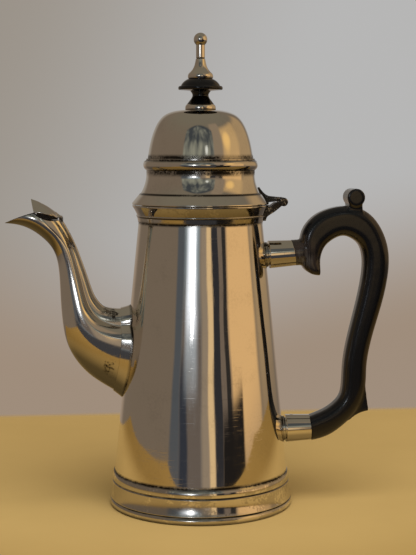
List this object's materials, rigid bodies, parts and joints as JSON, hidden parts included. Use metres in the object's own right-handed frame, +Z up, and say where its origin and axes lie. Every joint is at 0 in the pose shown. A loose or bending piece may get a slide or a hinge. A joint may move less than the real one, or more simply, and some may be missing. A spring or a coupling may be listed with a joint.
{
  "type": "coffee_pot",
  "caption": "Tapered silver-plated coffee pot with a covered swan-neck spout, a hinged domed lid with a tall black and silver finial, and a black wooden scroll handle",
  "frame": {"origin": "On the pot's axis, in the plane that the foot ring rests on", "axes": "+Z up along the pot's axis, -X to the spout, +X to the handle, +Y to the side away from the camera"},
  "size_m": [0.1962, 0.0944, 0.2402],
  "materials": {
    "silver_plate": "polished, slightly worn",
    "ebonised_wood": "black, semi-gloss",
    "black_insulator": "black, glossy"
  },
  "bodies": {
    "pot": {"foot_ring": "silver_plate", "base_moulding": "silver_plate", "body_floor": "silver_plate", "body_shell": "silver_plate", "rim_collar": "silver_plate", "spout": "silver_plate", "spout_collar": "silver_plate", "flap_hinge_lugs": "silver_plate", "flap_hinge_pin": "silver_plate", "upper_socket_base": "silver_plate", "upper_socket": "silver_plate", "upper_handle_pin": "silver_plate", "lower_socket_base": "silver_plate", "lower_socket": "silver_plate", "lower_handle_pin": "silver_plate", "handle": "ebonised_wood", "lid_hinge_bracket": "silver_plate", "lid_hinge_pin": "silver_plate"},
    "lid": {"lid_skirt": "silver_plate", "lid_bezel": "silver_plate", "lid_bead": "silver_plate", "lid_dome": "silver_plate", "lid_hinge_strap": "silver_plate", "finial_ring": "silver_plate", "finial_insulator": "black_insulator", "finial_knob": "silver_plate", "finial_stud": "silver_plate", "finial_washer": "silver_plate", "finial_nut": "silver_plate"},
    "flap": {"spout_flap": "silver_plate"}
  },
  "joints": [
    {"name": "lid_hinge", "type": "hinge", "parent": "pot", "child": "lid", "pos_m": [0.042, 0, 0.1552], "axis": [0, 1, 0], "range_deg": [0, 100]},
    {"name": "flap_hinge", "type": "hinge", "parent": "pot", "child": "flap", "pos_m": [-0.0707, 0, 0.1476], "axis": [0, 1, 0], "range_deg": [0, 80]}
  ]
}
